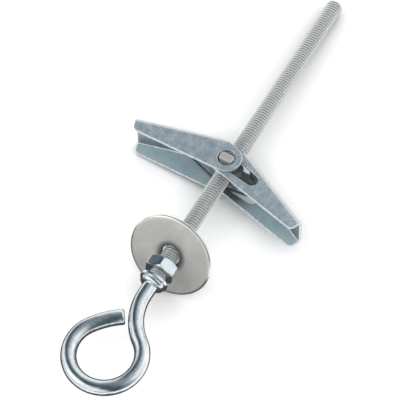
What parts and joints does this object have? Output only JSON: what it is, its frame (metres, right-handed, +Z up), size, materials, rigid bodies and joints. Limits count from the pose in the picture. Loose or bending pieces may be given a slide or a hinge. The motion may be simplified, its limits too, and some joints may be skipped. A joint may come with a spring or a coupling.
{
  "type": "spring toggle bolt",
  "caption": "Spring toggle bolt with a bent wire eye, collar, hexagon nut, loose round washer and sprung folding channel wings on a long threaded stud, for hanging from hollow ceilings.",
  "frame": {"origin": "middle of the wire eye", "axes": "+X runs with the rod from the eye towards the stud's end, which dips about 5 degrees, +Z is up from the surface that the bolt lies on, +Y is towards the outer wing"},
  "size_m": [0.1722, 0.0688, 0.0265],
  "materials": {
    "bright_zinc": "bright blue-white zinc plate",
    "nut_zinc": "bright blue-white zinc plate",
    "washer_steel": "satin warm grey zinc plate",
    "trunnion_zinc": "satin zinc plate",
    "wing_zinc": "mottled blue-grey zinc plate",
    "spring_steel": "drawn spring wire"
  },
  "bodies": {
    "eye_bolt": {"eye_bolt": "bright_zinc"},
    "nut": {"hex_nut": "nut_zinc"},
    "washer": {"washer": "washer_steel"},
    "toggle": {"trunnion_nut": "trunnion_zinc", "torsion_spring": "spring_steel"},
    "outer_wing": {"outer_wing": "wing_zinc"},
    "inner_wing": {"inner_wing": "wing_zinc"}
  },
  "joints": [
    {"name": "nut_travel", "type": "slide", "parent": "eye_bolt", "child": "nut", "axis": [0.9963, 0, -0.0864], "range_m": [-0.0024, 0]},
    {"name": "washer_slide", "type": "slide", "parent": "eye_bolt", "child": "washer", "axis": [0.9963, 0, -0.0864], "range_m": [0, 0.022]},
    {"name": "toggle_travel", "type": "slide", "parent": "eye_bolt", "child": "toggle", "axis": [0.9963, 0, -0.0864], "range_m": [-0.02, 0.07]},
    {"name": "outer_wing_fold", "type": "hinge", "parent": "toggle", "child": "outer_wing", "pos_m": [0.07929, 0, -0.00688], "axis": [0.0863, 0.0591, 0.9945], "range_deg": [-13.5, 68.5], "stiffness_Nm_per_rad": 0.05, "deforming": ["torsion_spring"]},
    {"name": "inner_wing_fold", "type": "hinge", "parent": "toggle", "child": "inner_wing", "pos_m": [0.07929, 0, -0.00688], "axis": [-0.0863, -0.0591, -0.9945], "range_deg": [-27.5, 54.5], "stiffness_Nm_per_rad": 0.05, "deforming": ["torsion_spring"]}
  ]
}
